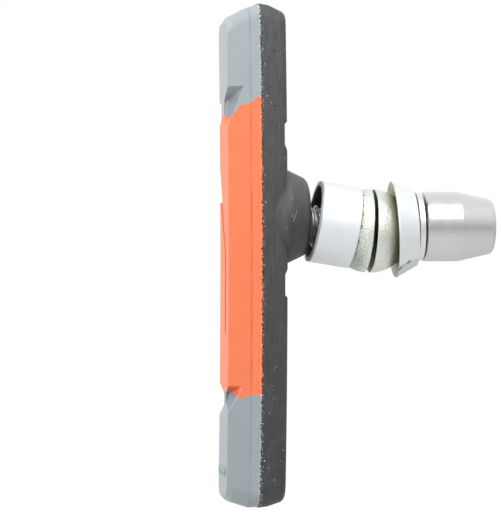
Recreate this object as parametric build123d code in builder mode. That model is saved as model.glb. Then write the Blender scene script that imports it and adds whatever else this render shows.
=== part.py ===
from build123d import *
import os
from math import cos, radians, sin, sqrt, tan

os.makedirs("parts", exist_ok=True)

# Rim brake pad on a threaded stud, with its spherical washers and its cap nut.
# The origin is on the stud's axis, midway between the two domed washers, where a brake arm is clamped.
# +X runs along the stud towards the nut, +Z along the pad, +Y towards the hub of the wheel.

# Stud, in millimetres like every length here
stud_radius = 3.0
stud_tip_chamfer = 0.5
stud_engagement = 6.6
rivet_radius = 2.4

# Domed washers, which hang a little below the stud's axis and lean by a few degrees
dome_sphere = 6.05
dome_length = 3.7
dome_gap = 0.5
dome_bore_clearance = 1.2
dome_edge = 0.2
washer_drop = 0.6
inner_dome_lean = 4.3
outer_dome_lean = 3.0

# Inner cup washer
seat_clearance = 0.05
cup_bore_clearance = 0.6
inner_cup_lip = 2.3
inner_cup_lip_wall = 0.2
inner_cup_web = 1.14
inner_cup_hollow = 2.2
inner_cup_rim = 0.6
inner_cup_edge = 0.12
inner_cup_lean = 9.5

# Outer cup washer, which lies askew on its dome
outer_cup_rim_radius = 7.0
outer_cup_rim_flat = 0.35
outer_cup_rim_place = 3.4
outer_cup_seat_edge = 4.75
outer_cup_web = 1.68
outer_cup_back_radius = 5.35
outer_cup_edge = 0.15
outer_cup_lean = -3.0
outer_cup_yaw = 2.5

# Flat washer, loose between the outer cup and the nut, and the cap nut
flat_washer_radius = 4.9
flat_washer_thickness = 0.75
flat_washer_clearance = 0.2
flat_washer_lean = -1.8
flat_washer_yaw = 1.5
loose_gap = 0.05
washer_gap = 0.03
nut_radius = 5.0
nut_end_radius = 3.85
nut_length = 10.2
nut_taper_length = 5.1
nut_end_round = 0.8
nut_foot_chamfer = 0.15
nut_thread_depth = 7.0
thread_clearance = 0.05
socket_across_flats = 5.0

# Pad as a whole: its length, its place on the stud and the rim track that it follows
pad_length = 72.0
stud_from_lower_end = 40.2
track_radius = 290.0
upper_outer_corner = 2.2
upper_inner_corner = 1.6
lower_outer_corner = 3.0
lower_inner_corner = 1.8

# Black base and its boss
base_width = 11.3
base_depth = 3.75
base_shoulder_depth = 1.3
base_shoulder_side_lean = 0.1
base_shoulder_upper_lean = 0.2
base_shoulder_lower_lean = 0.15
base_side_lean = 0.35
base_upper_lean = 1.35
base_lower_lean = 0.95
base_edge_round = 1.0
boss_height = 3.38
boss_overhang = 1.3
boss_flare_depth = 2.1
boss_taper = 1.6
boss_shoulder = 1.2
boss_waist_round = 1.3
boss_rise = 1.38
recess_depth = 0.45
recess_length = 4.2
recess_upper_place = 12.8
recess_lower_place = -8.1
recess_boss_slope = 0.9
recess_wall_slope = 0.4

# Steel backing plate inside the base
plate_thickness = 1.5
plate_front_cover = 0.7
plate_side_cover = 1.9
plate_end_cover = 8.0
plate_corner = 2.0

# Friction compound: how far each level stands below the face, and how far it is drawn in from the base's edge
compound_depth = 4.7
compound_step = 0.12
crease_depth = 3.3
crease_side_lean = 0.5
crease_upper_lean = 0.5
crease_lower_lean = 0.0
nose_depth = 0.8
nose_side_lean = 1.05
nose_upper_lean = 1.75
nose_lower_lean = 0.8
face_side_lean = 1.25
face_upper_lean = 2.85
face_lower_lean = 1.55

# Joints between the compounds, measured from the pad's ends at the face and at the base
upper_joint_face = 15.9
upper_joint_base = 13.1
lower_joint_face = 16.6
lower_joint_dip = 15.8
lower_joint_base = 16.1
joint_straight = 1.35

# Water scoops beside the joints: a steep wall above, a floor, and a ramp that runs out at the face below.
# Each is deepest at the flank and narrows to its tip, where it ends against the uncut bridge.
# Places are measured from the compound joint at the face, upwards if positive.
scoop_wall_slope = 0.12
scoop_tip_depth = 0.35
upper_outer_scoop_wall = 5.4
upper_outer_scoop_tip_wall = 2.1
upper_outer_scoop_run_out = -0.6
upper_outer_scoop_depth = 3.2
upper_outer_scoop_reach = 3.9
upper_inner_scoop_wall = 2.1
upper_inner_scoop_tip_wall = 1.6
upper_inner_scoop_run_out = -0.8
upper_inner_scoop_depth = 1.4
upper_inner_scoop_reach = 1.9
upper_scoop_floor = 0.3
lower_outer_scoop_wall = 1.95
lower_outer_scoop_run_out = -2.7
lower_outer_scoop_depth = 2.9
lower_outer_scoop_reach = 2.4
lower_inner_scoop_wall = 1.8
lower_inner_scoop_run_out = -3.5
lower_inner_scoop_depth = 2.25
lower_inner_scoop_reach = 4.6
lower_scoop_tip_wall = -0.2
lower_scoop_tip_run_out = -1.9
lower_scoop_floor = 1.4

# Drain groove, from a round blind end, along the pad and then slanting out through the hub-side flank
groove_width = 1.1
groove_depth = 1.3
groove_place = -0.95
groove_lower_end = -15.5
groove_bend = -3.7
groove_slant = 28.6
groove_flare_start = 2.2
groove_mouth_upper = 8.5
groove_mouth_lower = 3.35
groove_run_on = 2.0

# Raised dots that show which way the pad is set
dot_radius = 0.72
dot_height = 0.25
dot_taper = 20.0
dot_spacing = 2.35
dot_from_lower_end = 5.35

# Overshoot of cutting shapes past the surfaces that they cut
overshoot = 1.0

# Places worked out from the sizes above, along the stud from the arm's mid-plane
swivel = Vector(0, 0, -washer_drop)
seat_radius = dome_sphere + seat_clearance
cup_bore_radius = stud_radius + cup_bore_clearance
seat_depth = sqrt(seat_radius**2 - cup_bore_radius**2)
inner_seat_edge = sqrt(seat_radius**2 - inner_cup_lip**2)
inner_cup_radius = inner_seat_edge + inner_cup_lip_wall
inner_cup_back = seat_depth + inner_cup_web + inner_cup_hollow
inner_cup_reach = inner_cup_back * cos(radians(inner_cup_lean))
inner_cup_reach += inner_cup_radius * sin(radians(inner_cup_lean))
outer_cup_back = seat_depth + outer_cup_web
boss_front_x = -inner_cup_reach - loose_gap
base_back_x = boss_front_x - boss_height
joint_x = base_back_x - base_depth
face_x = joint_x - compound_depth
plate_front_x = joint_x + plate_front_cover
plate_back_x = plate_front_x + plate_thickness
boss_radius = base_width / 2 + boss_overhang

# Places along the pad
lower_end = -stud_from_lower_end
upper_end = lower_end + pad_length
pad_middle = (lower_end + upper_end) / 2


def track_y(z, offset):
    """Y of the curve that runs at this offset from the pad's centre line, towards the hub if positive."""
    radius = track_radius - offset
    return track_radius - sqrt(radius**2 - (z - pad_middle) ** 2)


def pad_section(x, half_width, upper_lean, lower_lean, corners):
    """Outline of the curved pad across the stud at x, drawn in from the pad's ends by the two leans."""
    top = upper_end - upper_lean
    bottom = lower_end + lower_lean
    outer = [(track_y(z, -half_width), z) for z in (bottom, pad_middle, top)]
    inner = [(track_y(z, half_width), z) for z in (top, pad_middle, bottom)]
    with BuildSketch(Plane.YZ.offset(x)) as section:
        with BuildLine():
            ThreePointArc(*outer)
            Line(outer[-1], inner[0])
            ThreePointArc(*inner)
            Line(inner[-1], outer[0])
        make_face()
        for corner, radius in zip((outer[0], outer[-1], inner[0], inner[-1]), corners):
            fillet(section.vertices().sort_by_distance(corner)[0], radius)
    return section.sketch


def washer_axis(lean, yaw):
    """Axis of a washer whose upper side leans towards the nut and whose rim side yaws towards the pad."""
    return Vector(1, 0, 0).rotate(Axis.Z, -yaw).rotate(Axis.Y, lean)


def axial_plane(axis):
    """Plane through the swivel centre that holds this axis of a washer and its upper side."""
    return Plane(origin=swivel, x_dir=axis, z_dir=axis.cross(Vector(0, 0, 1)))


def slope(axis):
    """Slope of a washer's flats against the plane across the stud."""
    return tan(radians(axis.get_angle(Vector(1, 0, 0))))


def seat_arc(side, edge_radius):
    """Three points of a cup's spherical seat, from its bore out to its edge, on the side of the arm given."""
    radii = (cup_bore_radius, (cup_bore_radius + edge_radius) / 2, edge_radius)
    return [(side * sqrt(seat_radius**2 - r**2), r) for r in radii]


def dome_washer(side, axis):
    """Slice of a sphere about the swivel centre, on the nut's side of the arm (+1) or on the pad's (-1)."""
    flat = dome_gap / 2
    end = flat + dome_length
    outline = [(side * x, sqrt(dome_sphere**2 - x**2)) for x in (flat, (flat + end) / 2, end)]
    with BuildPart() as dome:
        with BuildSketch(axial_plane(axis)) as profile:
            with BuildLine():
                Line((side * flat, 0), outline[0])
                ThreePointArc(*outline)
                Line(outline[-1], (side * end, 0))
                Line((side * end, 0), (side * flat, 0))
            make_face()
            fillet(profile.vertices().sort_by(Axis.Y)[-1], dome_edge)
        revolve(axis=Axis(swivel, axis))
        with BuildSketch(Plane(origin=swivel, z_dir=axis)):
            Circle(stud_radius + dome_bore_clearance)
        extrude(amount=side * (end + overshoot), mode=Mode.SUBTRACT)
    return dome.part


def scoop_section(y, wall, floor, run_out, depth):
    """Cross-section of a water scoop at y, from its wall down to where its ramp runs out."""
    floor_start = wall - scoop_wall_slope * depth
    floor_end = floor_start - floor
    ramp = (floor_end - run_out) / depth
    with BuildSketch(Plane.XZ.offset(-y)) as section:
        with BuildLine():
            Polyline(
                (face_x - overshoot, wall + scoop_wall_slope * overshoot),
                (face_x + depth, floor_start),
                (face_x + depth, floor_end),
                (face_x - overshoot, run_out - ramp * overshoot),
                close=True,
            )
        make_face()
    return section.sketch


def scoop(side, joint, flank, tip, floor, depth, reach):
    """Cutter for one scoop, from outside the flank on this side (-1 rim, +1 hub) in to its tip."""
    mouth_y = track_y(joint, side * (compound_half + overshoot))
    tip_y = track_y(joint, side * (face_half - reach))
    tip_floor = floor * scoop_tip_depth / depth
    with BuildPart() as cutter:
        loft(
            sections=[
                scoop_section(mouth_y, joint + flank[0], floor, joint + flank[1], depth),
                scoop_section(tip_y, joint + tip[0], tip_floor, joint + tip[1], scoop_tip_depth),
            ],
            ruled=True,
        )
    return cutter.part


# Axes of the askew washers, and the places of the flat washer and the nut that come against them
inner_cup_axis = washer_axis(inner_cup_lean, 0)
outer_cup_axis = washer_axis(outer_cup_lean, outer_cup_yaw)
flat_washer_axis = washer_axis(flat_washer_lean, flat_washer_yaw)
outer_cup_x = (outer_cup_back + swivel.dot(outer_cup_axis)) / outer_cup_axis.X
outer_cup_reach = outer_cup_x + flat_washer_radius * slope(outer_cup_axis)
flat_washer_skew = flat_washer_radius * slope(flat_washer_axis)
flat_washer_x = outer_cup_reach - flat_washer_skew + washer_gap
nut_x = flat_washer_x + flat_washer_thickness / flat_washer_axis.X + flat_washer_skew + washer_gap
nut_end_x = nut_x + nut_length
stud_tip_x = nut_x + stud_engagement

# Backing plate, with the hole that the stud is riveted in
with BuildPart() as backing_plate:
    plate_half = base_width / 2 - plate_side_cover
    extrude(
        pad_section(plate_front_x, plate_half, plate_end_cover, plate_end_cover, (plate_corner,) * 4),
        amount=plate_thickness,
    )
    with BuildSketch(Plane.YZ.offset(plate_front_x)):
        Circle(rivet_radius)
    extrude(amount=plate_thickness, mode=Mode.SUBTRACT)

# Stud, from its rivet in the plate to its tip inside the nut
with BuildPart() as threaded_stud:
    with BuildSketch(Plane.YZ.offset(plate_front_x)):
        Circle(rivet_radius)
    extrude(amount=plate_thickness)
    with BuildSketch(Plane.YZ.offset(plate_back_x)):
        Circle(stud_radius)
    extrude(amount=stud_tip_x - plate_back_x)
    chamfer(threaded_stud.edges().sort_by(Axis.X)[-1], stud_tip_chamfer)

# Base, moulded round the plate and the stud: a drafted strip with a round boss that flares out of its flanks
corner_radii = (lower_outer_corner, upper_outer_corner, upper_inner_corner, lower_inner_corner)
base_half = base_width / 2
base_levels = [
    (joint_x, 0, 0, 0),
    (
        joint_x + base_shoulder_depth,
        base_shoulder_side_lean,
        base_shoulder_upper_lean,
        base_shoulder_lower_lean,
    ),
    (base_back_x, base_side_lean, base_upper_lean, base_lower_lean),
]
with BuildPart() as base:
    loft(
        sections=[
            pad_section(x, base_half - side, upper, lower, corner_radii)
            for x, side, upper, lower in base_levels
        ],
        ruled=True,
    )
    fillet(base.faces().sort_by(Axis.X)[-1].edges(), base_edge_round)
    with BuildSketch(Plane.XZ) as recesses:
        for place, upper_slope, lower_slope in (
            (recess_upper_place, recess_wall_slope, recess_boss_slope),
            (recess_lower_place, recess_boss_slope, recess_wall_slope),
        ):
            upper_edge = place + recess_length / 2
            lower_edge = place - recess_length / 2
            with BuildLine():
                Polyline(
                    (base_back_x + overshoot, upper_edge),
                    (base_back_x, upper_edge),
                    (base_back_x - recess_depth, upper_edge - upper_slope),
                    (base_back_x - recess_depth, lower_edge + lower_slope),
                    (base_back_x, lower_edge),
                    (base_back_x + overshoot, lower_edge),
                    close=True,
                )
            make_face()
    extrude(amount=base_width, both=True, mode=Mode.SUBTRACT)
    with BuildSketch(Plane.XZ) as boss_profile:
        with BuildLine():
            Polyline(
                (base_back_x - boss_flare_depth, boss_rise),
                (base_back_x - boss_flare_depth, boss_rise + base_half - base_side_lean),
                (base_back_x, boss_rise + boss_radius),
                (boss_front_x, boss_rise + boss_radius - boss_taper),
                (boss_front_x, boss_rise),
                close=True,
            )
        make_face()
        fillet(boss_profile.vertices().sort_by(Axis.Y)[-1], boss_waist_round)
        fillet(boss_profile.vertices().group_by(Axis.X)[-1].sort_by(Axis.Y)[-1], boss_shoulder)
    revolve(axis=Axis((0, 0, boss_rise), (1, 0, 0)))
    add(backing_plate.part, mode=Mode.SUBTRACT)
    add(threaded_stud.part, mode=Mode.SUBTRACT)

# Friction block before it is divided: drafted, curved along the rim track, with sloping ends
compound_half = base_half - compound_step
face_half = compound_half - face_side_lean
upper_joint = upper_end - upper_joint_face
lower_joint = lower_end + lower_joint_face
compound_levels = [
    (face_x, face_side_lean, face_upper_lean, face_lower_lean),
    (face_x + nose_depth, nose_side_lean, nose_upper_lean, nose_lower_lean),
    (face_x + crease_depth, crease_side_lean, crease_upper_lean, crease_lower_lean),
    (joint_x, 0, compound_step, compound_step),
]
scoops = [
    scoop(
        -1,
        upper_joint,
        (upper_outer_scoop_wall, upper_outer_scoop_run_out),
        (upper_outer_scoop_tip_wall, upper_outer_scoop_run_out),
        upper_scoop_floor,
        upper_outer_scoop_depth,
        upper_outer_scoop_reach,
    ),
    scoop(
        1,
        upper_joint,
        (upper_inner_scoop_wall, upper_inner_scoop_run_out),
        (upper_inner_scoop_tip_wall, upper_inner_scoop_run_out),
        upper_scoop_floor,
        upper_inner_scoop_depth,
        upper_inner_scoop_reach,
    ),
    scoop(
        -1,
        lower_joint,
        (lower_outer_scoop_wall, lower_outer_scoop_run_out),
        (lower_scoop_tip_wall, lower_scoop_tip_run_out),
        lower_scoop_floor,
        lower_outer_scoop_depth,
        lower_outer_scoop_reach,
    ),
    scoop(
        1,
        lower_joint,
        (lower_inner_scoop_wall, lower_inner_scoop_run_out),
        (lower_scoop_tip_wall, lower_scoop_tip_run_out),
        lower_scoop_floor,
        lower_inner_scoop_depth,
        lower_inner_scoop_reach,
    ),
]
with BuildPart() as block:
    loft(
        sections=[
            pad_section(x, compound_half - side, upper, lower, corner_radii)
            for x, side, upper, lower in compound_levels
        ],
        ruled=True,
    )
    for cutter in scoops:
        add(cutter, mode=Mode.SUBTRACT)
    half_groove = groove_width / 2
    bend_shift = half_groove * tan(radians(groove_slant) / 2)
    across = Vector(cos(radians(groove_slant)), -sin(radians(groove_slant))) * half_groove
    flare_z = groove_bend + (groove_flare_start - groove_place) / tan(radians(groove_slant))
    flare = Vector(groove_flare_start, flare_z)
    mouth_upper = Vector(track_y(groove_mouth_upper, face_half), groove_mouth_upper)
    mouth_lower = Vector(track_y(groove_mouth_lower, face_half), groove_mouth_lower)
    upper_lip = flare - across
    lower_lip = flare + across
    with BuildSketch(Plane.YZ.offset(face_x - overshoot)):
        with BuildLine():
            Polyline(
                (groove_place - half_groove, groove_lower_end + half_groove),
                (groove_place - half_groove, groove_bend + bend_shift),
                upper_lip,
                upper_lip + (mouth_upper - upper_lip) * groove_run_on,
                lower_lip + (mouth_lower - lower_lip) * groove_run_on,
                lower_lip,
                (groove_place + half_groove, groove_bend - bend_shift),
                (groove_place + half_groove, groove_lower_end + half_groove),
                close=True,
            )
        make_face()
        with Locations((groove_place, groove_lower_end + half_groove)):
            Circle(half_groove)
    extrude(amount=overshoot + groove_depth, mode=Mode.SUBTRACT)
    dots_z = lower_end + dot_from_lower_end
    with BuildSketch(Plane.YZ.offset(face_x)):
        with Locations((track_y(dots_z, 0), dots_z)):
            with GridLocations(dot_spacing, 0, 3, 1):
                Circle(dot_radius)
    extrude(amount=-dot_height, taper=dot_taper)

# Division of the block along the curved joints, which run from the face down to the base
start_x = face_x - dot_height - overshoot
bend_x = face_x + joint_straight
middle_x = (bend_x + joint_x) / 2
end_x = joint_x + overshoot
upper_joint_at_base = upper_end - upper_joint_base
upper_curve = [
    (start_x, upper_joint),
    (bend_x, upper_joint),
    (middle_x, (upper_joint + upper_joint_at_base) / 2),
    (end_x, upper_joint_at_base),
]
lower_curve = [
    (start_x, lower_joint),
    (bend_x, lower_joint),
    (middle_x, lower_end + lower_joint_dip),
    (end_x, lower_end + lower_joint_base),
]


def compound_piece(below, above):
    """Part of the block between two curves in the XZ plane."""
    with BuildPart() as piece:
        add(block.part)
        with BuildSketch(Plane.XZ):
            with BuildLine():
                Spline(*above)
                Line(above[-1], below[-1])
                Spline(*reversed(below))
                Line(below[0], above[0])
            make_face()
        extrude(amount=base_width, both=True, mode=Mode.INTERSECT)
    return piece.part


top_line = [(x, upper_end + overshoot) for x, _ in upper_curve]
bottom_line = [(x, lower_end - overshoot) for x, _ in lower_curve]
upper_compound = compound_piece(upper_curve, top_line)
centre_compound = compound_piece(lower_curve, upper_curve)
lower_compound = compound_piece(bottom_line, lower_curve)

# Inner cup washer: hollow towards the boss, with a spherical seat for the dome
inner_seat = seat_arc(-1, inner_seat_edge)
with BuildPart() as inner_cup_washer:
    with BuildSketch(axial_plane(inner_cup_axis)) as inner_cup_profile:
        with BuildLine():
            ThreePointArc(*inner_seat)
            Polyline(
                inner_seat[-1],
                (-inner_cup_lip, inner_cup_radius),
                (-inner_cup_back, inner_cup_radius),
                (-inner_cup_back, inner_cup_radius - inner_cup_rim),
                (-inner_cup_back + inner_cup_hollow, inner_cup_radius - inner_cup_rim),
                (-inner_cup_back + inner_cup_hollow, cup_bore_radius),
                inner_seat[0],
            )
        make_face()
        fillet(inner_cup_profile.vertices().group_by(Axis.Y)[-1], inner_cup_edge)
    revolve(axis=Axis(swivel, inner_cup_axis))

# Domed washers, which take the brake arm between their flats
inner_dome_washer = dome_washer(-1, washer_axis(inner_dome_lean, 0))
outer_dome_washer = dome_washer(1, washer_axis(outer_dome_lean, 0))

# Outer cup washer: a shallow cone, dished towards the dome
outer_seat = seat_arc(1, outer_cup_seat_edge)
with BuildPart() as outer_cup_washer:
    with BuildSketch(axial_plane(outer_cup_axis)) as outer_cup_profile:
        with BuildLine():
            ThreePointArc(*outer_seat)
            Polyline(
                outer_seat[-1],
                (outer_cup_rim_place, outer_cup_rim_radius - outer_cup_rim_flat),
                (outer_cup_rim_place, outer_cup_rim_radius),
                (outer_cup_back, outer_cup_back_radius),
                (outer_cup_back, cup_bore_radius),
                outer_seat[0],
            )
        make_face()
        fillet(outer_cup_profile.vertices().group_by(Axis.Y)[-1], outer_cup_edge)
        fillet(outer_cup_profile.vertices().group_by(Axis.X)[-1].sort_by(Axis.Y)[-1], outer_cup_edge)
    revolve(axis=Axis(swivel, outer_cup_axis))

# Flat washer
with BuildPart() as flat_washer:
    with BuildSketch(Plane(origin=(flat_washer_x, 0, 0), z_dir=flat_washer_axis)):
        Circle(flat_washer_radius)
        Circle(stud_radius + flat_washer_clearance, mode=Mode.SUBTRACT)
    extrude(amount=flat_washer_thickness)

# Cap nut: a sleeve that tapers to a rounded end with a hexagon socket
with BuildPart() as cap_nut:
    with BuildSketch(Plane.XZ) as nut_profile:
        with BuildLine():
            Polyline(
                (nut_x, 0),
                (nut_x, nut_radius),
                (nut_end_x - nut_taper_length, nut_radius),
                (nut_end_x, nut_end_radius),
                (nut_end_x, 0),
                close=True,
            )
        make_face()
        chamfer(nut_profile.vertices().group_by(Axis.X)[0].sort_by(Axis.Y)[-1], nut_foot_chamfer)
        fillet(nut_profile.vertices().group_by(Axis.X)[-1].sort_by(Axis.Y)[-1], nut_end_round)
    revolve(axis=Axis.X)
    with BuildSketch(Plane.YZ.offset(nut_x)):
        Circle(stud_radius + thread_clearance)
    extrude(amount=nut_thread_depth, mode=Mode.SUBTRACT)
    with BuildSketch(Plane.YZ.offset(nut_end_x)):
        RegularPolygon(socket_across_flats / 2, 6, major_radius=False)
    extrude(amount=-(nut_length - nut_thread_depth), mode=Mode.SUBTRACT)

# One file for each piece, named after it
pieces = {
    "upper_compound": upper_compound,
    "centre_compound": centre_compound,
    "lower_compound": lower_compound,
    "base": base.part,
    "backing_plate": backing_plate.part,
    "threaded_stud": threaded_stud.part,
    "inner_cup_washer": inner_cup_washer.part,
    "inner_dome_washer": inner_dome_washer,
    "outer_dome_washer": outer_dome_washer,
    "outer_cup_washer": outer_cup_washer.part,
    "flat_washer": flat_washer.part,
    "cap_nut": cap_nut.part,
}
for name, piece in pieces.items():
    piece.label = name
    export_step(piece, f"parts/{name}.step")
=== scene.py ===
import math
import random

import bpy
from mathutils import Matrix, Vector


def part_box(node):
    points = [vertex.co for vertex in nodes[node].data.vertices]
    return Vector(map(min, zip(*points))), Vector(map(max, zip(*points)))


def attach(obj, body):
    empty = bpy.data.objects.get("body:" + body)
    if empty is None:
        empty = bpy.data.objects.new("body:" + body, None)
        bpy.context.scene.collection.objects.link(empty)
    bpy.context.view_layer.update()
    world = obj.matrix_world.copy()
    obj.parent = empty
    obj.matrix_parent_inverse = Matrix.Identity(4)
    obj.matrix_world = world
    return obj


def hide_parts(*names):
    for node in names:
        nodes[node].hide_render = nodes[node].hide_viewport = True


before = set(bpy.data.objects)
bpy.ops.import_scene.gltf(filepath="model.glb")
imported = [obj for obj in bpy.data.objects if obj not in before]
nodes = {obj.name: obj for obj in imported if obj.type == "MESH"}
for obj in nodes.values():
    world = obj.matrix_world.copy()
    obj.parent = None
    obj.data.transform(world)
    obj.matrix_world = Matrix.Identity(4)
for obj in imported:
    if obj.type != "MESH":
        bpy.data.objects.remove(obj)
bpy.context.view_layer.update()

scene = bpy.context.scene

# Lengths of materials and pieces are in millimetres; the stage, the lamps and the camera are in metres
MM = 0.001

# Places in the row frame, taken from the solids
base_low, base_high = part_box("base")
plate_low, plate_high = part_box("backing_plate")
JOINT_X = base_low.x / MM
LOWER_END = base_low.z / MM
UPPER_END = base_high.z / MM
PAD_MIDDLE = (LOWER_END + UPPER_END) / 2
PLATE_FRONT_X = plate_low.x / MM
PLATE_BACK_X = plate_high.x / MM
STUD_TIP_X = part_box("threaded_stud")[1].x / MM

# Sizes that a box doesn't give, as in the part's source
TRACK_RADIUS = 290.0
BASE_HALF = 5.65
COMPOUND_HALF = 5.53
STUD_RADIUS = 3.0
STUD_TIP_CHAMFER = 0.5
RIVET_RADIUS = 2.4
WASHER_DROP = 0.6
INNER_CUP_LIP = 2.3
INNER_CUP_LEAN = 9.5
OUTER_CUP_LEAN = -3.0
OUTER_CUP_YAW = 2.5
INNER_DOME_LEAN = 4.3
OUTER_DOME_LEAN = 3.0

# Range in which nearly all of a noise texture's values lie
NOISE_LOW = 0.3
NOISE_HIGH = 0.7


def colour(r, g, b):
    return (r, g, b, 1.0)


class Surface:
    """A material whose nodes feed its Principled shader; its tone is the colour painted so far."""

    CURVE_MARGIN = 0.1
    RIM_SIDE = (-1.0, -2.0)

    def __init__(self, name):
        self.material = bpy.data.materials.new(name)
        self.material.use_nodes = True
        self.tree = self.material.node_tree
        self.shader = self.tree.nodes["Principled BSDF"]
        place = self.node("ShaderNodeTexCoord").outputs["Object"]
        scaled = self.node("ShaderNodeVectorMath", {0: place}, operation="SCALE")
        scaled.inputs["Scale"].default_value = 1.0 / MM
        self.place = scaled.outputs[0]
        apart = self.node("ShaderNodeSeparateXYZ", {0: self.place})
        self.x, self.y, self.z = apart.outputs
        self.tone = None

    def feed(self, socket, value):
        if isinstance(value, bpy.types.NodeSocket):
            self.tree.links.new(value, socket)
        else:
            socket.default_value = value

    def node(self, kind, inputs=None, **settings):
        made = self.tree.nodes.new(kind)
        for key, value in settings.items():
            setattr(made, key, value)
        for key, value in (inputs or {}).items():
            self.feed(made.inputs[key], value)
        return made

    def set(self, **values):
        for key, value in values.items():
            self.feed(self.shader.inputs[key.replace("_", " ")], value)

    def math(self, operation, a, b):
        return self.node("ShaderNodeMath", {0: a, 1: b}, operation=operation).outputs[0]

    def vector(self, operation, a, b):
        return self.node("ShaderNodeVectorMath", {0: a, 1: b}, operation=operation).outputs[0]

    def sum(self, *values):
        total = values[0]
        for value in values[1:]:
            total = self.math("ADD", total, value)
        return total

    def minus(self, a, b):
        return self.math("SUBTRACT", a, b)

    def times(self, a, b):
        return self.math("MULTIPLY", a, b)

    def any_of(self, masks):
        total = masks[0]
        for mask in masks[1:]:
            total = self.math("MAXIMUM", total, mask)
        return total

    def step(self, value, low, high):
        """0 below low, 1 above high, smooth between; low may be above high."""
        inputs = {"Value": value, "From Min": low, "From Max": high, "To Min": 0.0, "To Max": 1.0}
        return self.node("ShaderNodeMapRange", inputs, interpolation_type="SMOOTHSTEP").outputs[0]

    def band(self, value, start, end):
        """1 between a start and an end, which both say where the mask is 0 and where it is 1."""
        return self.times(self.step(value, *start), self.step(value, *end))

    def span(self, value, low, high, to_low, to_high):
        inputs = {"Value": value, "From Min": low, "From Max": high, "To Min": to_low, "To Max": to_high}
        return self.node("ShaderNodeMapRange", inputs).outputs[0]

    def vary(self, noise, low, high):
        """Value between low and high that follows a noise texture."""
        return self.span(noise, NOISE_LOW, NOISE_HIGH, low, high)

    def mix(self, share, a, b):
        return self.node("ShaderNodeMix", {0: share, 6: a, 7: b}, data_type="RGBA").outputs[2]

    def paint(self, mask, tone, strength=None):
        """Lay a tone over the colour so far, where the mask is 1."""
        share = mask if strength is None else self.times(mask, strength)
        self.tone = self.mix(share, self.tone, tone)

    def noise(self, scale, detail=2.0, rough=0.5, place=None):
        inputs = {"Vector": place or self.place, "Scale": scale, "Detail": detail, "Roughness": rough}
        return self.node("ShaderNodeTexNoise", inputs).outputs[0]

    def cells(self, scale):
        """Distance to the middle of the nearest of many scattered cells."""
        inputs = {"Vector": self.place, "Scale": scale}
        return self.node("ShaderNodeTexVoronoi", inputs).outputs["Distance"]

    def curve(self, value, points):
        """Curve through the points (value, result), level beyond the first and the last."""
        low, high = points[0][0], points[-1][0]
        results = [result for _, result in points]
        bottom, top = min(results) - self.CURVE_MARGIN, max(results) + self.CURVE_MARGIN
        made = self.node("ShaderNodeFloatCurve", {"Value": self.span(value, low, high, 0.0, 1.0)})
        line = made.mapping.curves[0]
        while len(line.points) < len(points):
            line.points.new(0.5, 0.5)
        for knot, (at, result) in zip(line.points, points):
            knot.location = ((at - low) / (high - low), (result - bottom) / (top - bottom))
            knot.handle_type = "AUTO"
        made.mapping.update()
        return self.span(made.outputs[0], 0.0, 1.0, bottom, top)

    def spot(self, x, z, wide, tall, turn=0.0):
        """Mask of a small ellipse at this place on the rim side, turned by so many degrees."""
        c, s = math.cos(math.radians(turn)), math.sin(math.radians(turn))
        dx = self.minus(self.x, x)
        dz = self.minus(self.z, z)
        across = self.times(self.sum(self.times(dx, c), self.times(dz, s)), 1.0 / wide)
        up = self.times(self.sum(self.times(dz, c), self.times(dx, -s)), 1.0 / tall)
        apart = self.sum(self.times(across, across), self.times(up, up))
        return self.times(self.step(apart, 1.0, 0.5), self.step(self.y, *self.RIM_SIDE))

    def spots(self, marks):
        return self.any_of([self.spot(*mark) for mark in marks])

    def bump(self, *heights):
        """Relief from the sum of these heights in millimetres."""
        made = self.node("ShaderNodeBump", {"Height": self.sum(*heights)})
        made.inputs["Strength"].default_value = 1.0
        made.inputs["Distance"].default_value = MM
        self.set(Normal=made.outputs[0])


# Friction compound, grey at its ends: each joint with the orange is a curve of z over x, with a wave over y
UPPER_JOINT = [
    (-21.0, 15.85), (-20.3, 15.87), (-19.5, 16.95), (-18.0, 17.45), (-16.9, 18.3), (-16.1, 18.52),
]
UPPER_WAVE = [
    (-5.6, 0.0), (-4.6, 0.0), (-3.5, 0.05), (-1.7, -0.3), (0.0, -0.1), (2.2, 0.2), (4.2, 0.0), (5.6, 0.1),
]
LOWER_JOINT = [
    (-21.0, -23.56), (-20.5, -23.61), (-20.0, -23.88), (-19.26, -24.47), (-18.7, -24.38), (-17.8, -24.01),
    (-16.9, -24.07), (-16.1, -23.81),
]
LOWER_WAVE = [
    (-5.6, 0.0), (-4.3, 0.05), (-2.3, 0.1), (-0.6, 0.45), (0.2, 0.15), (3.7, 0.25), (4.6, -0.1), (5.6, -0.5),
]
JOINT_RAGGED = 0.09
JOINT_BLUR = 0.06

# Colours of the compound, from its darker to its lighter clouds where there are two
ORANGE = colour(0.93, 0.205, 0.080), colour(0.97, 0.240, 0.098)
UPPER_GREY = colour(0.348, 0.390, 0.408), colour(0.396, 0.438, 0.456)
# Painted shade: the lower grey is darker than the upper grey, for light that falls off towards the pad's
# lower end
SHADED_LOWER_GREY = colour(0.318, 0.362, 0.380), colour(0.362, 0.405, 0.424)
# Painted shade for the scoops, on the orange and on the grey
ORANGE_SCOOP_SHADE, GREY_SCOOP_SHADE = colour(0.80, 0.085, 0.015), colour(0.19, 0.205, 0.24)
# Painted shade along the crease between the flank and the strip by the base
ORANGE_CREASE_SHADE, GREY_CREASE_SHADE = colour(0.42, 0.06, 0.03), colour(0.18, 0.20, 0.26)
ORANGE_CRUMB, GREY_CRUMB = colour(0.98, 0.60, 0.38), colour(0.90, 0.89, 0.88)
PIT_TONE = colour(0.10, 0.05, 0.035)
DUST_TONE = colour(0.75, 0.74, 0.72)
BASE_SMEAR = colour(0.05, 0.05, 0.05)

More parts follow.
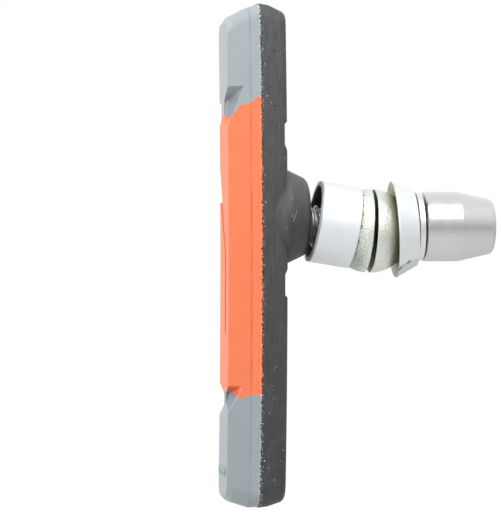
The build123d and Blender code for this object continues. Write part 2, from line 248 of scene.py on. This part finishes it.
# Soft limits of places on the compound, each from where a mask is 0 to where it is 1
UPPER_SCOOP_Z = (15.0, 15.6), (19.2, 18.0)
LOWER_SCOOP_Z = (-27.5, -26.8), (-22.0, -22.6)
SCOOP_X = (-20.93, -20.80), (-18.0, -18.6)
SCOOP_Y = (-3.6, -3.2), (0.5, -0.5)
STRIP_X = (-17.80, -17.55)
CREASE_X = (-18.05, -17.80), (-17.52, -17.72)
COMPOUND_EDGE_X = (JOINT_X - 0.42, JOINT_X - 0.12)
SMEAR_X = (JOINT_X + 0.03, JOINT_X + 0.09)


def grey_ends(made):
    """Masks of the upper and the lower grey end, with a slightly ragged edge."""
    height = made.sum(made.z, made.vary(made.noise(1.9, detail=3.0), -JOINT_RAGGED, JOINT_RAGGED))
    upper = made.sum(made.curve(made.x, UPPER_JOINT), made.curve(made.y, UPPER_WAVE))
    lower = made.sum(made.curve(made.x, LOWER_JOINT), made.curve(made.y, LOWER_WAVE))
    above = made.step(made.minus(height, upper), -JOINT_BLUR, JOINT_BLUR)
    below = made.step(made.minus(lower, height), -JOINT_BLUR, JOINT_BLUR)
    return above, below


def friction_compound():
    """Moulded rubber in two colours, with painted shade in the scoops, along the crease and over the lower
    grey end, a pitted strip and a crumbly edge by the base.
    """
    made = Surface("friction_compound")
    above, below = grey_ends(made)
    is_grey = made.any_of([above, below])
    cloudy = made.noise(0.35, detail=3.0)
    # The lower grey end takes the darker grey, as painted shade
    grey = made.mix(below, made.mix(cloudy, *UPPER_GREY), made.mix(cloudy, *SHADED_LOWER_GREY))
    made.tone = made.mix(is_grey, made.mix(cloudy, *ORANGE), grey)

    by_joint = made.any_of([made.band(made.z, *UPPER_SCOOP_Z), made.band(made.z, *LOWER_SCOOP_Z)])
    on_floor = made.times(made.band(made.x, *SCOOP_X), made.band(made.y, *SCOOP_Y))
    in_scoop = made.times(by_joint, on_floor)
    # Painted shade on the scoop floors beside each joint
    made.paint(in_scoop, made.mix(is_grey, ORANGE_SCOOP_SHADE, GREY_SCOOP_SHADE), 0.8)

    in_strip = made.step(made.x, *STRIP_X)
    pitted = made.times(in_strip, made.step(made.cells(2.9), 0.30, 0.12))
    made.paint(pitted, PIT_TONE, 0.10)

    # Painted shade along the crease, broken up by noise
    fade = made.span(made.noise(0.22, detail=1.0), 0.35, 0.65, 0.18, 0.40)
    in_crease = made.times(made.band(made.x, *CREASE_X), fade)
    made.paint(in_crease, made.mix(is_grey, ORANGE_CREASE_SHADE, GREY_CREASE_SHADE))

    dusty = made.step(made.noise(5.0), 0.70, 0.80)
    made.paint(dusty, DUST_TONE, 0.12)

    crumbly = made.times(made.step(made.x, *COMPOUND_EDGE_X), made.step(made.noise(4.2), 0.52, 0.62))
    made.paint(crumbly, made.mix(is_grey, ORANGE_CRUMB, GREY_CRUMB), 0.55)

    drawn = made.vector("MULTIPLY", made.place, (0.4, 1.0, 1.0))
    smear = made.span(made.noise(2.6, detail=4.0, rough=0.65, place=drawn), 0.35, 0.75, 0.0, 0.34)
    made.paint(made.step(made.sum(made.x, smear), *SMEAR_X), BASE_SMEAR)

    fine = made.noise(7.0, detail=3.0, rough=0.6)
    made.set(Base_Color=made.tone, Roughness=made.vary(fine, 0.40, 0.52))
    grain = made.times(made.minus(fine, 0.5), 0.010)
    strip_grain = made.times(made.times(in_strip, made.noise(3.4, detail=3.0, rough=0.6)), 0.06)
    made.bump(grain, strip_grain, made.times(pitted, -0.03))
    return made


# Black base: colours from below to above where there are two; the darker lower and lighter upper colours are
# painted shade and painted light
BASE_BLACK = colour(0.035, 0.036, 0.040), colour(0.071, 0.072, 0.072)
BOSS_BLACK = colour(0.034, 0.035, 0.038), colour(0.093, 0.094, 0.094)
CLOUD_TONE = colour(0.085, 0.086, 0.085)
STREAK_TONE = colour(0.024, 0.025, 0.026)
JOINT_SHADE = colour(0.014, 0.014, 0.015)
GREY_CHIP, ORANGE_CHIP = colour(0.80, 0.80, 0.78), colour(0.85, 0.47, 0.32)
SPECK_TONE = colour(0.72, 0.72, 0.70)
SCRATCH_TONE = colour(0.008, 0.008, 0.008)
NICK_TONE = colour(0.55, 0.55, 0.52)

# Places on the base, and its marks as x, z, half width, half height and turn in degrees
# Heights over which the base and the boss go from painted shade below to painted light above
BASE_SHADING_Z = (-38.0, 30.0)
BOSS_SHADING_Z = (-0.5, 6.2)
BOSS_X = (-12.75, -12.40)
BASE_EDGE_X = (JOINT_X + 0.42, JOINT_X + 0.12)
ORANGE_Z = (-24.2, -23.8), (18.6, 18.2)
SPECKS = [
    (-15.85, -33.35, 0.13), (-15.25, -34.4, 0.09), (-14.35, -36.1, 0.09), (-13.45, -33.4, 0.06),
    (-15.2, -26.55, 0.08), (-14.9, -22.7, 0.07), (-14.7, -23.25, 0.06), (-14.55, -24.45, 0.05),
    (-15.5, 18.5, 0.11), (-14.95, 17.55, 0.07), (-15.2, 25.4, 0.06), (-13.4, 24.75, 0.06),
    (-15.85, 3.4, 0.12), (-15.95, 7.2, 0.07), (-12.65, 6.4, 0.08), (-12.2, 3.9, 0.07), (-12.2, 1.4, 0.07),
]
SCRATCHES = [
    (-14.5, 24.95, 0.55, 0.07, 2), (-15.15, 19.7, 0.38, 0.07, -8), (-13.55, 19.6, 0.42, 0.06, -10),
    (-14.35, 17.05, 0.50, 0.07, 8), (-14.6, 10.9, 0.35, 0.05, 4), (-14.0, -18.0, 0.40, 0.05, -6),
]
NICKS = [(-11.78, 1.43, 1.12, 0.045, 71), (-14.4, -20.1, 0.45, 0.04, 55), (-12.2, 1.5, 0.25, 0.04, 60)]


def moulded_base():
    """Moulded plastic painted darker below and lighter above as shade and light, with grain and drawn
    streaks, light specks, chips at the joint and short scratches.
    """
    made = Surface("moulded_base")
    # Painted shade below and painted light above, on the base and on the boss
    made.tone = made.mix(made.span(made.z, *BASE_SHADING_Z, 0.0, 1.0), *BASE_BLACK)
    boss_tone = made.mix(made.span(made.z, *BOSS_SHADING_Z, 0.0, 1.0), *BOSS_BLACK)
    made.paint(made.step(made.x, *BOSS_X), boss_tone)
    made.paint(made.step(made.noise(0.5, detail=3.0), 0.40, 0.65), CLOUD_TONE, 0.35)

    drawn = made.vector("MULTIPLY", made.place, (1.0, 1.0, 0.05))
    streaks = made.noise(4.6, place=drawn)
    made.paint(made.step(streaks, 0.45, 0.70), STREAK_TONE, 0.55)

    by_joint = made.step(made.x, *BASE_EDGE_X)
    made.paint(by_joint, JOINT_SHADE, 0.55)
    chipped = made.times(by_joint, made.step(made.noise(4.0, rough=0.6), 0.56, 0.64))
    made.paint(chipped, made.mix(made.band(made.z, *ORANGE_Z), GREY_CHIP, ORANGE_CHIP), 0.6)

    speck_size = made.span(made.noise(1.1, detail=1.0), 0.45, 0.75, 0.0, 0.08)
    scattered = made.math("LESS_THAN", made.cells(0.55), speck_size)
    speck = made.any_of([made.spots((x, z, size, size) for x, z, size in SPECKS), scattered])
    made.paint(speck, SPECK_TONE, 0.75)
    scratch = made.spots(SCRATCHES)
    made.paint(scratch, SCRATCH_TONE, 0.75)
    made.paint(made.spots(NICKS), NICK_TONE, 0.55)

    fine = made.noise(5.5, detail=3.0, rough=0.6)
    made.set(Base_Color=made.tone, Specular_IOR_Level=0.7, Roughness=made.vary(fine, 0.46, 0.60))
    made.bump(
        made.times(fine, 0.022),
        made.times(made.noise(1.3), 0.03),
        made.times(streaks, 0.012),
        made.times(scratch, -0.04),
        made.times(speck, 0.02),
    )
    return made


# Metals. The domed and cup washers hang below the stud's axis, and each leans its own way
def leaning(lean, yaw=0.0):
    """Axis of a washer that leans by these degrees."""
    lean, yaw = math.radians(lean), math.radians(yaw)
    return (math.cos(lean) * math.cos(yaw), -math.sin(yaw), -math.sin(lean))


STUD_CENTRE = (0.0, 0.0, 0.0)
STUD_AXIS = (1.0, 0.0, 0.0)
WASHER_CENTRE = (0.0, 0.0, -WASHER_DROP)
INNER_CUP_AXIS = leaning(INNER_CUP_LEAN)
OUTER_CUP_AXIS = leaning(OUTER_CUP_LEAN, OUTER_CUP_YAW)
INNER_DOME_AXIS = leaning(INNER_DOME_LEAN)
OUTER_DOME_AXIS = leaning(OUTER_DOME_LEAN)
LINE_TONE = colour(0.35, 0.36, 0.38)
DULL_SHARE = 0.95
LINE_SLANT = 0.83


def along_axis(made, centre, axis):
    """Place along a washer's own axis, and the way there from its centre."""
    arm = made.vector("SUBTRACT", made.place, centre)
    dot = made.node("ShaderNodeVectorMath", {0: arm, 1: axis}, operation="DOT_PRODUCT")
    return dot.outputs["Value"], arm


def ring(made, centre, axis):
    """Place along a washer's own axis and distance from it."""
    along, arm = along_axis(made, centre, axis)
    foot = made.node("ShaderNodeVectorMath", {0: axis, "Scale": along}, operation="SCALE").outputs[0]
    out = made.vector("SUBTRACT", arm, foot)
    return along, made.node("ShaderNodeVectorMath", {0: out}, operation="LENGTH").outputs["Value"]


def turned(name, tone, roughness, line_height, centre=STUD_CENTRE, axis=STUD_AXIS):
    """Bright metal with fine turning lines round its own axis; it keeps the place along it and the radius."""
    made = Surface(name)
    made.along, made.radius = ring(made, centre, axis)
    path = made.sum(made.along, made.times(made.radius, LINE_SLANT))
    on_path = made.node("ShaderNodeCombineXYZ", {0: path}).outputs[0]
    lines = made.noise(5.0, detail=3.0, rough=0.6, place=on_path)
    marks = made.noise(0.8)
    made.tone = made.mix(marks, colour(*[DULL_SHARE * c for c in tone]), colour(*tone))
    made.paint(made.step(lines, 0.55, 0.70), LINE_TONE, 0.10)
    made.set(Base_Color=made.tone, Metallic=1.0, Roughness=made.vary(marks, *roughness))
    made.bump(made.times(lines, line_height), made.times(marks, 0.006))
    return made


# Cup washers: soft limits along a cup's own axis or from it, and painted dark reflections given as the base's
# marks are
CUP_METAL = {"tone": (0.965, 0.985, 1.0), "roughness": (0.58, 0.68), "line_height": 0.002}
HOLLOW_PLACE = (-5.6, -5.9)
HOLLOW_RADIUS = (5.42, 5.30)
BEVEL_PLACE = (-7.90, -8.02)
RIM_PLACE = (-8.16, -8.22)
# Painted shade for the inner cup's hollow, bevel and rim
CUP_HOLLOW_SHADE = colour(0.16, 0.155, 0.14)
CUP_BEVEL_SHADE = colour(0.36, 0.38, 0.41)
CUP_RIM_SHADE = colour(0.55, 0.56, 0.58)
LOWEST_SIDE = (-0.68, -0.76)
DISH_SLOPE = 0.2247
DISH_EDGE = (5.06, 4.97)
# Painted dark reflections on the lower cone, as x, z, half width, half height and turn
DARK_REFLECTION_MARKS = [(3.75, -6.05, 0.48, 0.22, 50), (5.0, -5.1, 0.45, 0.22, 38), (4.35, -5.55, 0.8, 0.06, 38)]
# Painted shade on the outer cup's lowest side
LOWEST_SIDE_SHADE = colour(0.60, 0.61, 0.63)
DARK_REFLECTION_TONE = colour(0.17, 0.17, 0.17)
# Painted reflection of the yellow dome in the cup's dish
DISH_REFLECTION_TONE = colour(0.52, 0.51, 0.41)


def inner_cup_plating():
    """Bright plating, with painted shade in the hollow at the pad's side and on the bevel and the rim round
    it.
    """
    made = turned("bright_plating", **CUP_METAL, centre=WASHER_CENTRE, axis=INNER_CUP_AXIS)
    in_hollow = made.times(made.step(made.along, *HOLLOW_PLACE), made.step(made.radius, *HOLLOW_RADIUS))
    # Painted shade in the hollow, on the bevel and on the rim
    made.paint(in_hollow, CUP_HOLLOW_SHADE)
    made.paint(made.step(made.along, *BEVEL_PLACE), CUP_BEVEL_SHADE, 0.85)
    made.paint(made.step(made.along, *RIM_PLACE), CUP_RIM_SHADE)
    made.set(Base_Color=made.tone)
    return made


def outer_cup_plating():
    """Bright plating, with painted shade and painted dark reflections along its lowest side, and a painted
    yellowish reflection of the dome in the dish at the dome's side.
    """
    made = turned("cup_plating", **CUP_METAL, centre=WASHER_CENTRE, axis=OUTER_CUP_AXIS)
    drop = made.math("DIVIDE", made.sum(made.z, WASHER_DROP), made.radius)
    # Painted shade along the lowest side
    made.paint(made.step(drop, *LOWEST_SIDE), LOWEST_SIDE_SHADE, 0.45)
    # Painted dark reflections on the lower cone
    made.paint(made.spots(DARK_REFLECTION_MARKS), DARK_REFLECTION_TONE, 0.7)
    # Painted reflection of the dome in the dish at the dome's side
    dished = made.step(made.sum(made.along, made.times(made.radius, DISH_SLOPE)), *DISH_EDGE)
    made.paint(dished, DISH_REFLECTION_TONE, 0.9)
    made.set(Base_Color=made.tone)
    return made


# Yellow zinc: places are soft limits along x or z, or along a washer's axis
GREEN_GOLD = colour(0.93, 0.93, 0.82), colour(0.89, 0.94, 0.89)
COLD_TONE = colour(0.58, 0.68, 0.67)
HOLLOW_TONE = colour(0.20, 0.23, 0.18)
CUP_SHADE = colour(0.20, 0.24, 0.18)
# Painted shade where the inner dome goes under the inner cup's lip, and in the gap between the domes
DOME_RIM_SHADE = colour(0.13, 0.14, 0.11)
GAP_SHADE = colour(0.045, 0.045, 0.030)
COLD_X = (-0.9, -2.4)
COLD_Z = (-1.4, -4.6)
BY_CUP_X = (2.0, 3.3)
INNER_FLAT = (-0.30, -0.26)
OUTER_FLAT = (0.30, 0.26)
GRAIN_SCALE = (2.0, 1.7, 3.8)
GRAIN_FADE_X = (-2.6, -0.7)
GRAIN_FADE = (1.0, 0.28)


def yellow_zinc():
    """Pale green-gold plating, with a rough pressed grain that runs aslant, mostly on the pad's side."""
    made = Surface("yellow_zinc")
    aslant = {0: made.sum(made.x, made.z), 1: made.y, 2: made.minus(made.z, made.x)}
    turned_place = made.node("ShaderNodeCombineXYZ", aslant).outputs[0]
    pressed = made.noise(1.0, detail=3.0, rough=0.6, place=made.vector("MULTIPLY", turned_place, GRAIN_SCALE))
    pad_side = made.span(made.x, *GRAIN_FADE_X, *GRAIN_FADE)

    made.tone = made.mix(made.step(made.noise(0.45, detail=3.0), 0.35, 0.65), *GREEN_GOLD)
    made.paint(made.times(made.step(made.x, *COLD_X), made.step(made.z, *COLD_Z)), COLD_TONE, 0.75)
    made.paint(made.times(made.step(pressed, 0.50, 0.34), pad_side), HOLLOW_TONE, 0.62)
    made.paint(made.step(made.x, *BY_CUP_X), CUP_SHADE, 0.8)

    # Painted shade on the dome along the inner cup's lip, with a ragged edge
    from_rim = made.sum(along_axis(made, WASHER_CENTRE, INNER_CUP_AXIS)[0], INNER_CUP_LIP)
    notched = made.span(made.noise(2.2), 0.35, 0.65, -0.02, 0.30)
    made.paint(made.step(made.minus(notched, from_rim), -0.02, 0.08), DOME_RIM_SHADE, 0.7)

    # Painted shade on the flat faces in the gap between the domes
    past_inner = made.step(along_axis(made, WASHER_CENTRE, INNER_DOME_AXIS)[0], *INNER_FLAT)
    before_outer = made.step(along_axis(made, WASHER_CENTRE, OUTER_DOME_AXIS)[0], *OUTER_FLAT)
    made.paint(made.times(past_inner, before_outer), GAP_SHADE, 0.9)

    roughness = made.vary(made.noise(2.0, detail=3.0), 0.30, 0.44)
    made.set(Base_Color=made.tone, Metallic=1.0, Roughness=roughness)
    made.bump(made.times(made.times(pressed, pad_side), 0.40), made.times(made.noise(2.4, detail=3.0), 0.02))
    return made


CRUMB_TONES = colour(0.86, 0.50, 0.36), colour(0.88, 0.86, 0.84)


def pale_crumbs():
    """Crumbs of flash that were left on the base beside the joint, some orange and some grey."""
    made = Surface("pale_crumbs")
    tone = made.mix(made.step(made.noise(0.9), 0.42, 0.58), *CRUMB_TONES)
    made.set(Base_Color=tone, Roughness=made.vary(made.noise(3.0), 0.45, 0.70))
    return made


# The material of each node
compound = friction_compound()
steel = turned("plain_steel", tone=(0.56, 0.57, 0.58), roughness=(0.28, 0.42), line_height=0.004)
thin_plating = turned("washer_plating", tone=(0.92, 0.925, 0.94), roughness=(0.34, 0.44), line_height=0.004)
aluminium = turned("turned_aluminium", tone=(0.77, 0.775, 0.78), roughness=(0.20, 0.28), line_height=0.002)
zinc = yellow_zinc()
coats = {
    "upper_compound": compound,
    "centre_compound": compound,
    "lower_compound": compound,
    "base": moulded_base(),
    "backing_plate": steel,
    "threaded_stud": steel,
    "inner_cup_washer": inner_cup_plating(),
    "inner_dome_washer": zinc,
    "outer_dome_washer": zinc,
    "outer_cup_washer": outer_cup_plating(),
    "flat_washer": thin_plating,
    "cap_nut": aluminium,
}
for name, coat in coats.items():
    nodes[name].data.materials.clear()
    nodes[name].data.materials.append(coat.material)


def piece(name, points, faces, coat, slot):
    """New mesh piece from points in millimetres, which rides on the pad."""
    mesh = bpy.data.meshes.new(name)
    mesh.from_pydata([tuple(c * MM for c in p) for p in points], [], faces)
    mesh.update()
    made = bpy.data.objects.new(name, mesh)
    scene.collection.objects.link(made)
    mesh.materials.append(coat.material)
    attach(made, "pad")
    return made


# Stud with its rolled thread, a right-hand one
PITCH = 1.0
THREAD_ROOT = 2.42
THREAD_START = -9.6
ROOT_FLAT = 0.18
FLANK_SHARE = 0.66
RING = 48
STEPS_PER_PITCH = 14


def thread_radius(x, turn):
    """Radius of the stud at x and at this share of a turn."""
    wave = abs(((x / PITCH - turn) % 1.0) - 0.5) * 2.0
    crest = min(1.0, max(0.0, (wave - ROOT_FLAT) / FLANK_SHARE))
    run_in = min(1.0, max(0.0, (x - THREAD_START) / PITCH))
    return STUD_RADIUS - (STUD_RADIUS - THREAD_ROOT) * (1.0 - crest) * run_in


def stud_mesh():
    """Rivet, shoulder and thread as rings of points from the plate to the tip."""
    plain = [(PLATE_FRONT_X, RIVET_RADIUS), (PLATE_BACK_X, RIVET_RADIUS), (PLATE_BACK_X, STUD_RADIUS)]
    rows = [[(x, r) for _ in range(RING)] for x, r in plain]
    count = int((STUD_TIP_X - THREAD_START) / PITCH * STEPS_PER_PITCH)
    for i in range(count + 1):
        x = THREAD_START + (STUD_TIP_X - THREAD_START) * i / count
        chamfered = STUD_RADIUS - STUD_TIP_CHAMFER + (STUD_TIP_X - x)
        rows.append([(x, min(thread_radius(x, k / RING), chamfered)) for k in range(RING)])
    points = []
    for row in rows:
        for k, (x, r) in enumerate(row):
            angle = 2 * math.pi * k / RING
            points.append((x, r * math.cos(angle), r * math.sin(angle)))
    faces = []
    for i in range(len(rows) - 1):
        for k in range(RING):
            after = (k + 1) % RING
            faces.append((i * RING + k, i * RING + after, (i + 1) * RING + after, (i + 1) * RING + k))
    faces.append(tuple(range(RING - 1, -1, -1)))
    last = (len(rows) - 1) * RING
    faces.append(tuple(range(last, last + RING)))
    return points, faces


stud = piece("stud_thread", *stud_mesh(), steel, "plain_steel")
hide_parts("threaded_stud")

# Moulding flash: a thin ragged lip of compound on the ledge where it meets the base, along each flank
FLASH_STEP = 0.14
FLASH_END = 4.0
FLASH_ROOT = -0.03
FLASH_OVERLAP = 0.005
FLASH_FOOT = 0.08
FLASH_FOOT_RISE = 0.28
FLASH_CREST = 0.02
FLASH_CREST_RISE = 0.16
CREST_SHARE = 0.9
LEDGE = 0.115
LEAST_LIP = 0.25
LIP_CHANGE = 0.6
RISE_CHANGE = 0.5
CORNERS = 4
SEED = 7
chance = random.Random(SEED)


def flash_section(lip, rise):
    """Corners of the lip as x and as distance out of the flank, at these shares of its width and height."""
    return [
        (JOINT_X - FLASH_FOOT - FLASH_FOOT_RISE * rise, FLASH_ROOT),
        (JOINT_X - FLASH_CREST - FLASH_CREST_RISE * rise, LEDGE * lip * CREST_SHARE),
        (JOINT_X + FLASH_OVERLAP, LEDGE * (LEAST_LIP + (1.0 - LEAST_LIP) * lip)),
        (JOINT_X + FLASH_OVERLAP, FLASH_ROOT),
    ]


def flash_mesh(side):
    """Lip along one flank: side -1 is the rim side, +1 the hub side."""
    radius = TRACK_RADIUS - side * COMPOUND_HALF
    low = math.asin((LOWER_END + FLASH_END - PAD_MIDDLE) / radius)
    high = math.asin((UPPER_END - FLASH_END - PAD_MIDDLE) / radius)
    count = int((high - low) * radius / FLASH_STEP)
    points = []
    faces = []
    lip, rise = 0.5, 0.5
    for i in range(count + 1):
        angle = low + (high - low) * i / count
        lip += (chance.uniform(0.0, 1.0) - lip) * LIP_CHANGE
        rise += (chance.uniform(0.0, 1.0) - rise) * RISE_CHANGE
        for x, out in flash_section(lip, rise):
            reach = radius - side * out
            points.append((x, TRACK_RADIUS - reach * math.cos(angle), PAD_MIDDLE + reach * math.sin(angle)))
    for i in range(count):
        here, there = i * CORNERS, (i + 1) * CORNERS
        for k in range(CORNERS):
            after = (k + 1) % CORNERS
            quad = (here + k, here + after, there + after, there + k)
            faces.append(quad if side > 0 else quad[::-1])
    last = count * CORNERS
    ends = (tuple(range(CORNERS)), tuple(range(last + CORNERS - 1, last - 1, -1)))
    faces.extend(end if side < 0 else end[::-1] for end in ends)
    return points, faces


piece("flash_rim_side", *flash_mesh(-1), compound, "orange_rubber")
piece("flash_hub_side", *flash_mesh(1), compound, "orange_rubber")

# Crumbs of that flash on the base
CRUMBS = 60
CRUMB_SINK = 0.012
CRUMB_CORNERS = 6
CRUMB_GAP = 0.02
CRUMB_SPREAD = 0.10
CRUMB_FARTHEST = 0.45
CRUMB_SIZE = (0.02, 0.06)
CRUMB_UNEVEN = (0.6, 1.3)
CRUMB_HEIGHT = 0.5


def crumb_mesh():
    """Small uneven crumbs on the base's rim-side flank, beside the joint."""
    points = []
    faces = []
    for _ in range(CRUMBS):
        z = chance.uniform(LOWER_END + FLASH_END, UPPER_END - FLASH_END)
        x = JOINT_X + CRUMB_GAP + min(CRUMB_FARTHEST, abs(chance.gauss(0.0, CRUMB_SPREAD)))
        size = chance.uniform(*CRUMB_SIZE)
        flank = TRACK_RADIUS - math.sqrt((TRACK_RADIUS + BASE_HALF) ** 2 - (z - PAD_MIDDLE) ** 2)
        y = flank + CRUMB_SINK
        start = len(points)
        around = [chance.uniform(*CRUMB_UNEVEN) * size for _ in range(CRUMB_CORNERS)]
        for k, reach in enumerate(around):
            angle = 2 * math.pi * k / CRUMB_CORNERS
            points.append((x + reach * math.cos(angle), y, z + reach * math.sin(angle)))
        points.append((x, y - CRUMB_SINK - CRUMB_HEIGHT * size, z))
        points.append((x, y + CRUMB_SINK, z))
        top, foot = start + CRUMB_CORNERS, start + CRUMB_CORNERS + 1
        for k in range(CRUMB_CORNERS):
            after = start + (k + 1) % CRUMB_CORNERS
            faces.append((start + k, after, top))
            faces.append((after, start + k, foot))
    return points, faces


piece("flash_crumbs", *crumb_mesh(), pale_crumbs(), "orange_rubber")

# Stage: a pale floor below the object and a backdrop far behind
FLOOR_Z = -0.15
FLOOR_FRONT_Y = -1.0
WALL_Y = 1.5
WALL_TOP_Z = 2.0
STAGE_HALF = 2.0
FLOOR_TONE = 0.64
WALL_TONE = 0.8


def paper(name, tone):
    """Matt stage material."""
    made = bpy.data.materials.new(name)
    made.use_nodes = True
    shader = made.node_tree.nodes["Principled BSDF"]
    shader.inputs["Base Color"].default_value = colour(tone, tone, tone)
    shader.inputs["Roughness"].default_value = 1.0
    shader.inputs["Specular IOR Level"].default_value = 0.0
    return made


def seen_white(made):
    """The same material, but camera, mirror and glass rays see it as plain white."""
    tree = made.node_tree
    path = tree.nodes.new("ShaderNodeLightPath")
    seen = path.outputs["Is Camera Ray"]
    for ray in ("Is Glossy Ray", "Is Transmission Ray"):
        either = tree.nodes.new("ShaderNodeMath")
        either.operation = "MAXIMUM"
        tree.links.new(seen, either.inputs[0])
        tree.links.new(path.outputs[ray], either.inputs[1])
        seen = either.outputs[0]
    white = tree.nodes.new("ShaderNodeEmission")
    white.inputs["Color"].default_value = colour(1.0, 1.0, 1.0)
    white.inputs["Strength"].default_value = 1.0
    blend = tree.nodes.new("ShaderNodeMixShader")
    tree.links.new(seen, blend.inputs[0])
    tree.links.new(tree.nodes["Principled BSDF"].outputs[0], blend.inputs[1])
    tree.links.new(white.outputs[0], blend.inputs[2])
    tree.links.new(blend.outputs[0], tree.nodes["Material Output"].inputs["Surface"])
    return made


def sheet(name, low_edge, high_edge, material):
    """Wide stage sheet between two edges, each given as y and z."""
    left, right = -STAGE_HALF, STAGE_HALF
    corners = [(left, *low_edge), (right, *low_edge), (right, *high_edge), (left, *high_edge)]
    mesh = bpy.data.meshes.new(name)
    mesh.from_pydata(corners, [], [(0, 1, 2, 3)])
    made = bpy.data.objects.new(name, mesh)
    mesh.materials.append(material)
    scene.collection.objects.link(made)


sheet("floor", (FLOOR_FRONT_Y, FLOOR_Z), (WALL_Y, FLOOR_Z), paper("floor_paper", FLOOR_TONE))
sheet("backdrop", (WALL_Y, FLOOR_Z), (WALL_Y, WALL_TOP_Z), seen_white(paper("backdrop_paper", WALL_TONE)))

# Studio light: a pale room, brighter above and behind, with a soft lamp above the front and one at the left
ROOM_HEIGHT = {"From Min": -0.35, "From Max": 0.6, "To Min": 0.40, "To Max": 0.92}
ROOM_DEPTH = {"From Min": -1.0, "From Max": 0.3, "To Min": 0.92, "To Max": 1.0}


def studio_room():
    """World whose brightness changes smoothly with the height and the depth of the way looked."""
    world = bpy.data.worlds.new("studio")
    scene.world = world
    world.use_nodes = True
    tree = world.node_tree
    way = tree.nodes.new("ShaderNodeTexCoord")
    parts = tree.nodes.new("ShaderNodeSeparateXYZ")
    tree.links.new(way.outputs["Generated"], parts.inputs[0])
    product = tree.nodes.new("ShaderNodeMath")
    product.operation = "MULTIPLY"
    for i, (direction, limits) in enumerate((("Z", ROOM_HEIGHT), ("Y", ROOM_DEPTH))):
        change = tree.nodes.new("ShaderNodeMapRange")
        change.interpolation_type = "SMOOTHSTEP"
        tree.links.new(parts.outputs[direction], change.inputs["Value"])
        for key, value in limits.items():
            change.inputs[key].default_value = value
        tree.links.new(change.outputs[0], product.inputs[i])
    sky = tree.nodes["Background"]
    tree.links.new(product.outputs[0], sky.inputs["Color"])
    sky.inputs["Strength"].default_value = 1.0


def softbox(name, place, wide, tall, watts):
    """Rectangular lamp that faces the origin."""
    lamp = bpy.data.lights.new(name, "AREA")
    lamp.shape = "RECTANGLE"
    lamp.size = wide
    lamp.size_y = tall
    lamp.energy = watts
    made = bpy.data.objects.new(name, lamp)
    made.location = place
    made.rotation_euler = (-made.location).to_track_quat("-Z", "Y").to_euler()
    scene.collection.objects.link(made)


studio_room()
softbox("key_softbox", place=(-0.02, -0.20, 0.25), wide=0.34, tall=0.26, watts=0.57)
softbox("side_softbox", place=(-0.6, 0.05, 0.12), wide=0.5, tall=0.6, watts=2.2)

# Camera: where it looks, how far off it stands and its lens, which give 7 pixels to a millimetre
TARGET = Vector((-17.24, 0.0, -4.243)) * MM
AZIMUTH = math.radians(-8.3)
DISTANCE = 0.6
LENS = 295.0
FARTHEST_SEEN = 10.0

lens = bpy.data.cameras.new("camera")
lens.lens = LENS
lens.clip_end = FARTHEST_SEEN
camera = bpy.data.objects.new("camera", lens)
back = Vector((math.sin(AZIMUTH), -math.cos(AZIMUTH), 0.0))
camera.location = TARGET + back * DISTANCE
camera.rotation_euler = (-back).to_track_quat("-Z", "Y").to_euler()
scene.collection.objects.link(camera)
scene.camera = camera

scene.view_settings.view_transform = "Standard"
